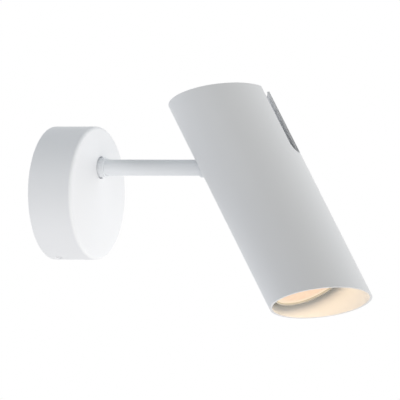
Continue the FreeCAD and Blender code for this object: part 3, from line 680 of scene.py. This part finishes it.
def slot_cutter(across, foot):
    """A bar with a round foot, long enough to cut both sides of the tube up through the rim."""
    bm = bmesh.new()
    ring = bmesh.ops.create_circle(bm, cap_ends=True, segments=48, radius=across / 2 * MM)["verts"]
    stand = Matrix.Rotation(math.radians(90), 4, "Y")
    bmesh.ops.transform(bm, matrix=Matrix.Translation((-0.05, 0, foot * MM)) @ stand, verts=ring)
    for vert in ring:
        if vert.co.z > (foot + 0.01) * MM:
            vert.co.z += 0.12
    extruded = bmesh.ops.extrude_face_region(bm, geom=bm.faces[:])["geom"]
    far = [item for item in extruded if isinstance(item, bmesh.types.BMVert)]
    bmesh.ops.translate(bm, vec=(0.1, 0, 0), verts=far)
    bmesh.ops.recalc_face_normals(bm, faces=bm.faces)
    return bm


shell = cut(shell, slot_cutter(SLOT_ACROSS, SLOT_FOOT))
print("softened", soften(shell, 0.3, 3), "edges of the tube")
set_piece(shell, "head_shell", tube_paint_shaded, "head", "head_tube", HEAD)

# %% [markdown]
# ## The lamp
# The lamp is the standard kind with two pins and a 50 mm front. Its cup widens to a straight rim
# round the lens. We turn both as closed sections: the cup keeps its hollow inside, and the lens is
# a disc whose face is slightly domed, held a little inside the rim.

# %% Build the lamp's cup and lens
lamp_section = [
    (-50, 0), (-50, 14), (-79.5, 25), (-86.5, 25), (-86.5, 24), (-84, 24), (-84, 22.8), (-81, 22.8),
    (-62, 13), (-62, 0),
]
lamp = turned(ALONG_TUBE, lamp_section, 128)
soften(lamp, 0.35, 3)
set_piece(lamp, "lamp_body", lamp_rim, "head", "lamp_cup", HEAD)
lens_section = [(-84, 0), (-84, 23.97), (-85.4, 23.97), (-85.8, 20), (-86, 12), (-86, 0)]
lens = turned(ALONG_TUBE, lens_section, 128)
soften(lens, 0.2)
set_piece(lens, "lamp_front", lens_glow, "head", "lamp_lens", HEAD)

# %% [markdown]
# ## The leads
# A supply lead runs from the terminal block through the arm, and a second length of it goes on from the
# arm's end to the lampholder. Each is a round cable with a soft jacket, and so is the striped earth wire. A
# smooth curve through a few points with a round bevel gives each one the easy bends that a stiff small cable
# takes. The second length crosses the hinge. It is handed the arm and the head, with reaches of 8 mm and
# 12.5 mm from the pivot, but nothing here makes it bend: it stays as drawn, on neither body.

# %% Lay the leads
def lead(route, radius):
    """A tube that follows a smooth line through route points, in millimetres."""
    curve = bpy.data.curves.new("lead", "CURVE")
    curve.dimensions = "3D"
    curve.bevel_depth = radius * MM
    curve.bevel_resolution = 6
    curve.resolution_u = 20
    curve.use_fill_caps = True
    spline = curve.splines.new("NURBS")
    spline.points.add(len(route) - 1)
    for point, place in zip(spline.points, route):
        point.co = (*(Vector(place) * MM), 1)
    spline.order_u = 3
    spline.use_endpoint_u = True
    line = bpy.data.objects.new("lead", curve)
    bpy.context.scene.collection.objects.link(line)
    bm = evaluated(line)
    bmesh.ops.remove_doubles(bm, verts=bm.verts, dist=1e-6)
    return bm


LEAD_RADIUS, WIRE_RADIUS = 1.5, 1
HELD_REACH, FREE_REACH = 8, 12.5
held, free = (PIVOT + Vector((reach * MM, 0, 0)) for reach in (HELD_REACH, FREE_REACH))
in_arm = lead([(7.5, 0, -15), (7.5, 0, 8.5), (15.5, 0, 16.5), (140.5, 0, 16.5)], LEAD_RADIUS)
set_piece(in_arm, "lead_in_arm", silicone, "wall_side", "arm_lead")
earth = lead([(7.5, 9, -15), (7.5, 9, -7), (3.4, 14, 2), (3.4, 14, 10)], WIRE_RADIUS)
set_piece(earth, "earth_tail", striped, "wall_side", "earth_wire")
head_route = [(6.73, 0, -4.32), (22.8, 0, -14.64), (22.8, 0, -25.6), (16.4, 0, -32), (8, 0, -32)]
in_head = lead(head_route, LEAD_RADIUS)
across = ("wall_side", "head", held, free)
set_piece(in_head, "lead_in_head", silicone, across, "head_lead", HEAD)

# %% [markdown]
# ## The yoke and the bridge
# The head hangs on the arm by a yoke, a small U of plated steel strip whose two cheeks end round the
# pivot. It stands on a bridge, a wider strip with turned-down ends that are welded to the tube. The
# yoke is a block with round ends less its inside, and the bridge is a slice of a turned cap.

# %% Build the yoke and the bridge
STRIP = 7
CHEEK_OUT, CHEEK_IN = 7.55, 6.05
YOKE_FOOT, YOKE_FLOOR = -15, -13.5
BRIDGE_UNDER, BRIDGE_FOOT = -16.5, -26.5
BRIDGE_OUT, BRIDGE_IN = 28.47, 26.97
PIVOT_HOLE, SCREW_HOLE = 2.55, 1.53
YOKE_SCREWS, HOLDER_SCREWS = [(0, y) for y in (-3, 3)], [(0, y) for y in (-11.5, 11.5)]


def on_yoke_bend(edge):
    return all(v.co.z < (YOKE_FOOT + 0.1) * MM and abs(v.co.y) > (CHEEK_OUT - 0.05) * MM for v in edge.verts)


def on_bridge_bend(edge):
    near_tube = (BRIDGE_OUT - 0.07) * MM
    return all(v.co.z > (YOKE_FOOT - 0.1) * MM and v.co.xy.length > near_tube for v in edge.verts)


yoke = fused(
    block((-STRIP, -CHEEK_OUT, YOKE_FOOT), (STRIP, CHEEK_OUT, 0)),
    rod((0, -CHEEK_OUT, 0), (0, CHEEK_OUT, 0), STRIP, 64),
)
inside = block((-9, -CHEEK_IN, YOKE_FLOOR), (9, CHEEK_IN, 9))
yoke = cut(yoke, inside, rod((0, -9, 0), (0, 9, 0), PIVOT_HOLE, 32))
yoke = cut(yoke, *upright_rods(YOKE_SCREWS, YOKE_FOOT - 1, YOKE_FLOOR + 0.5, SCREW_HOLE, 24))
soften(yoke, 1, 4, on_yoke_bend)
soften(yoke, 0.15)
set_piece(yoke, "yoke", zinc, "head", "pivot_yoke", HEAD)
cap_section = [
    (YOKE_FOOT, 0), (YOKE_FOOT, BRIDGE_OUT), (BRIDGE_FOOT, BRIDGE_OUT), (BRIDGE_FOOT, BRIDGE_IN),
    (BRIDGE_UNDER, BRIDGE_IN), (BRIDGE_UNDER, 0),
]
trims = (block((STRIP, -40, -40), (40, 40, 0)), block((-40, -40, -40), (-STRIP, 40, 0)))
bridge = cut(turned(ALONG_TUBE, cap_section, 160), *trims)
bridge = cut(bridge, *upright_rods(YOKE_SCREWS + HOLDER_SCREWS, -18, -13, SCREW_HOLE, 24))
soften(bridge, 1, 4, on_bridge_bend)
soften(bridge, 0.15)
set_piece(bridge, "bridge", zinc, "head", "head_bridge", HEAD)

# %% [markdown]
# ## Screws and washers
# Two screws with a shoulder are the head's pivot: the yoke turns on the shoulders, and a washer under
# each head keeps it stiff enough to stay where it is put. Their heads have a hexagon socket, the
# canopy's screws have a slit, and the small screws inside have a cross. Each screw is turned as one
# section, and the drive is cut into it.

# %% Build the screws
ALONG_PIVOT = Vector((0, 1, 0))
HEAD_THICK, BROKEN_TIP = 1.6, 0.3


def copies(bm, places):
    """One shape repeated at several places, given as matrices."""
    mesh = loose_object(bm, "copy")
    result = bmesh.new()
    for place in places:
        moved = mesh.data.copy()
        moved.transform(place)
        result.from_mesh(moved)
    bpy.data.objects.remove(mesh)
    return result


def pan_head(tip, seat, shank, head):
    """The section of a screw with a broken tip and a round head on its seat."""
    top = seat + HEAD_THICK
    return [
        (tip, 0), (tip, shank - BROKEN_TIP), (tip + BROKEN_TIP, shank), (seat, shank), (seat, head),
        (top, head), (top, 0),
    ]


def screw(section, drive, places):
    """A screw along Z with its head up, repeated at several places."""
    top, head = section[-1][0], section[-2][1]

    def on_rim(edge):
        return all(v.co.z > (top - 0.01) * MM and v.co.xy.length > head * 0.9 * MM for v in edge.verts)

    bm = turned(ALONG_TUBE, section, 48)
    soften(bm, head * 0.2, 4, on_rim)
    bm = cut(bm, *drive)
    soften(bm, 0.12)
    return copies(bm, places)


def cross(head, top):
    """The cutters for a cross recess."""
    reach, width, depth = head * 0.6, head * 0.16, head * 0.45
    return [
        block((-x, -y, top - depth), (x, y, top + 1)) for x, y in ((reach, width), (width, reach * 0.99))
    ]


def spots(*places):
    """Matrices that move a shape to each place, in millimetres."""
    return [Matrix.Translation(Vector(place).to_3d() * MM) for place in places]


shoulder = [
    (4.3, 0), (4.3, 1.6), (4.7, 2), (5.5, 2), (5.5, 2.5), (8.1, 2.5), (8.1, 4.2), (10.6, 4.2), (10.6, 0),
]
HEX_KEY, KEY_DEPTH = 3, 1.5
outwards = [Matrix.Rotation(math.radians(side * 90), 4, "X") for side in (-1, 1)]
socket = rod((0, 0, 10.6 - KEY_DEPTH), (0, 0, 12), round(HEX_KEY / math.sqrt(3), 2), 6)
pivots = screw(shoulder, [socket], outwards)
set_piece(pivots, "pivot_bolts", steel, "wall_side", "pivot_screws", to_pivot)
yoke_bolts = screw(
    pan_head(-18.5, YOKE_FLOOR, 1.5, 2.4), cross(2.4, YOKE_FLOOR + HEAD_THICK), spots(*YOKE_SCREWS)
)
set_piece(yoke_bolts, "yoke_bolts", steel, "head", "yoke_screws", HEAD)
holder_bolts = screw(
    pan_head(-27, YOKE_FOOT, 1.5, 2.4), cross(2.4, YOKE_FOOT + HEAD_THICK), spots(*HOLDER_SCREWS)
)
set_piece(holder_bolts, "holder_bolts", steel, "head", "holder_screws", HEAD)

# %% Build the canopy's and the block's screws
up_and_down = [
    Matrix.Translation((FIXING_OUT * MM, 0, 0)) @ Matrix.Rotation(math.radians(turn), 4, "X")
    for turn in (0, 180)
]
slit = block((-3, -0.3, 40.4), (3, 0.3, 43))
canopy_bolts = screw([(35.2, 0), (35.2, 2), (41.2, 2), (41.2, 0)], [slit], up_and_down)
set_piece(canopy_bolts, "canopy_bolts", canopy_paint, "wall_side", "canopy_screws")
to_front = Matrix.Rotation(math.radians(90), 4, "Y")
block_places = [place @ to_front for place in spots((0, -4.5, -22), (0, 4.5, -22))]
block_bolts = screw(pan_head(0, 13.5, 1.5, 2.3), cross(2.3, 13.5 + HEAD_THICK), block_places)
set_piece(block_bolts, "block_bolts", steel, "wall_side", "block_screws")
earth_section = [(0, 0), (0, 2), (2.3, 2), (2.3, 3.75), (4.7, 3.75), (4.7, 0)]
earth_bolt = screw(earth_section, cross(3.75, 4.7), [place @ to_front for place in spots((0, 14, 20))])
set_piece(earth_bolt, "earth_bolt", brass, "wall_side", "earth_screw")

# %% Build the pivot's washers
def sides(bm):
    """A shape on the pivot's line and a copy of it turned to the other side."""
    return copies(bm, [Matrix(), Matrix.Rotation(math.pi, 4, "Z")])


def washer(near, far, radius):
    """A flat ring on the pivot's line, with the pivot's hole."""
    return turned(ALONG_PIVOT, [(near, PIVOT_HOLE), (near, radius), (far, radius), (far, PIVOT_HOLE)], 64)


friction = washer(5.55, 6.05, 6)
soften(friction, 0.12)
set_piece(sides(friction), "pivot_pads", nylon, "head", "friction_washers", to_pivot)
springs = washer(7.55, 8.05, 4)
springs = cut(springs, block((0, 7, -0.2), (6, 9, 0.2)))
soften(springs, 0.1)
set_piece(sides(springs), "pivot_springs", steel, "head", "spring_washers", to_pivot)

# %% [markdown]
# ## The lampholder
# The holder is a pressed ceramic block with two wells for the lamp's pins, held below the bridge by
# two long screws. Pressed ceramic has round corners and slightly soft edges, so a plain block gets
# its four upright corners rounded first, then its holes, and a fine round on every edge that is left.

# %% Build the lampholder
HOLDER_TOP, HOLDER_FACE = -21, -38.9
WELLS, WELL_TOP, WELL_RADIUS = [(0, y) for y in (-5, 5)], -29, 2.9


def is_upright(edge):
    return abs(edge.verts[0].co.z - edge.verts[1].co.z) > 10 * MM


holder = block((-8, -15, HOLDER_FACE), (8, 15, HOLDER_TOP))
soften(holder, 3, 6, is_upright)
holder = cut(
    holder,
    *upright_rods(HOLDER_SCREWS, -27.4, HOLDER_TOP + 1, SCREW_HOLE, 24),
    *upright_rods(WELLS, HOLDER_FACE - 1.1, WELL_TOP, WELL_RADIUS, 32),
)
soften(holder, 0.4, 3)
set_piece(holder, "pin_holder", ceramic, "head", "lampholder", HEAD)

# %% [markdown]
# ## Finishes for the other nodes
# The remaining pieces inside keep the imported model's own meshes, and each gets the finish of what it
# is made of through its material slot.

# %% Hand out the other finishes
finishes = {
    zinc: ["wall_bracket", "backing_plate"],
    steel: ["terminal_screws", "toothed_washer", "arm_nut", "holder_spacers"],
    brass: ["terminal_tubes", "holder_contacts"],
    tinned: ["earth_tag", "lamp_pins"],
    block_plastic: ["terminal_block"],
    rubber: ["cable_grommet"],
    nylon: ["arm_bush"],
    board_white: ["led_board"],
    lamp_white: ["lamp_base"],
}
for material, names in finishes.items():
    for name in names:
        nodes[name].material_slots[0].material = material
print("finished", sum(len(names) for names in finishes.values()), "nodes")

# %% [markdown]
# ## Light
# Soft light comes from all round. It is brightest from the wall's side and from above and behind the
# light, and weakest from the camera's own side. A studio would hang a few very large soft boxes to
# get this, so the world's colour is a sum of seven: each is strongest in one direction and fades
# smoothly round it. Four are a little cool and three a little warm. Rays that the camera sees, or that
# a gloss or a lens sends on, find plain white instead.

# %% Light the world
soft_boxes = [
    ((-1, 0, 0), (2.04, 2.10, 2.22)),
    ((1, 1, 1), (1.65, 1.70, 1.76)),
    ((0, 0, -1), (1.25, 1.29, 1.33)),
    ((2, 0, -1), (1.34, 1.31, 1.27)),
    ((0, 1, 0), (1.02, 0.94, 0.86)),
    ((1, -1, 0), (0.89, 0.93, 0.94)),
    ((1, -1, -1), (0.38, 0.30, 0.26)),
]
FADE = 4
world = bpy.data.worlds.new("studio")
world.use_nodes = True
bpy.context.scene.world = world
tree = world.node_tree
way = add(tree, "TexCoord").outputs["Generated"]
total = None
for toward, color in soft_boxes:
    facing = add(tree, "VectorMath", Vector=way)
    facing.operation = "DOT_PRODUCT"
    facing.inputs[1].default_value = Vector(toward).normalized()
    front = calculate(tree, "MAXIMUM", facing.outputs["Value"], 0)
    added = add(tree, "VectorMath", Vector=calculate(tree, "POWER", front, FADE))
    added.operation = "MULTIPLY_ADD"
    added.inputs[1].default_value = color
    if total is not None:
        tree.links.new(total, added.inputs[2])
    total = added.outputs["Vector"]
path = add(tree, "LightPath").outputs
seen = calculate(tree, "MAXIMUM", path["Is Camera Ray"], path["Is Glossy Ray"])
seen = calculate(tree, "MAXIMUM", seen, path["Is Transmission Ray"])
sky = blend_colors(tree, seen, total, (1, 1, 1, 1))
tree.links.new(sky, tree.nodes["Background"].inputs["Color"])
print("soft boxes:", len(soft_boxes))

# %% [markdown]
# ## The lamps
# One soft lamp to the side brightens the canopy's round side. A warm disc just in front of the lens throws
# the lamp's own light down the tube. It is parented to the head's body, so it turns with the head.
# Neither is seen by the camera.

# %% Place the lamps
def soft_lamp(name, size, watts, color, matrix):
    """A round soft lamp that the camera doesn't see."""
    data = bpy.data.lights.new(name, "AREA")
    data.shape = "DISK"
    data.size = size
    data.energy = watts
    data.color = color
    lamp = bpy.data.objects.new(name, data)
    bpy.context.scene.collection.objects.link(lamp)
    lamp.matrix_world = matrix
    lamp.visible_camera = False
    return lamp


spot_at = Vector((-0.04, -0.40, 0.12))
toward = (Vector((0.015, -0.04, 0.0)) - spot_at).to_track_quat("-Z", "Y").to_matrix().to_4x4()
soft_lamp(
    "wall_washer", size=0.24, watts=0.26, color=(0.95, 1, 1.04), matrix=Matrix.Translation(spot_at) @ toward
)
before_lens = HEAD @ Matrix.Translation((0, 0, -87.2 * MM))
inside = soft_lamp("lamp_light", size=0.044, watts=0.0115, color=(1, 0.765, 0.48), matrix=before_lens)
inside.parent = frame["bodies"]["head"]
print("lamps:", [item.name for item in bpy.data.lights])

# %% [markdown]
# ## The floor
# A plain pale floor lies well below the light, out of the camera's view. Camera rays find it nearly
# white, and it still takes shadows. From below it is clear, so that views from there see the light.

# %% Lay the floor
floor_paint, tree, shader = new_material("floor_paint")
shader.inputs["Roughness"].default_value = 0.9
speck = add(tree, "TexNoise", Scale=3.0, Detail=4.0)
color = blend_colors(tree, speck.outputs["Fac"], (0.93, 0.93, 0.93, 1), (0.91, 0.91, 0.91, 1))
tree.links.new(color, shader.inputs["Base Color"])
glow = add(tree, "Emission", Color=(1, 1, 1, 1), Strength=1.0)
lit = calculate(tree, "MULTIPLY", add(tree, "LightPath").outputs["Is Camera Ray"], 0.8)
pale = add(tree, "MixShader", Fac=lit)
tree.links.new(shader.outputs["BSDF"], pale.inputs[1])
tree.links.new(glow.outputs["Emission"], pale.inputs[2])
clear = add(tree, "MixShader", Fac=add(tree, "NewGeometry").outputs["Backfacing"])
tree.links.new(pale.outputs["Shader"], clear.inputs[1])
tree.links.new(add(tree, "BsdfTransparent").outputs["BSDF"], clear.inputs[2])
tree.links.new(clear.outputs["Shader"], tree.nodes["Material Output"].inputs["Surface"])
FLOOR_Z = -1.7
bm = bmesh.new()
bmesh.ops.create_grid(bm, x_segments=1, y_segments=1, size=30)
bmesh.ops.translate(bm, vec=(0, 0, FLOOR_Z), verts=bm.verts)
floor = loose_object(bm, "floor")
floor.data.materials.append(floor_paint)
floor.visible_diffuse = False
floor.visible_glossy = False
print("floor at", FLOOR_Z, "m")

# %% [markdown]
# ## The view transform
# The Standard view transform shows each colour as it is written.

# %% Finish
bpy.context.scene.view_settings.view_transform = "Standard"
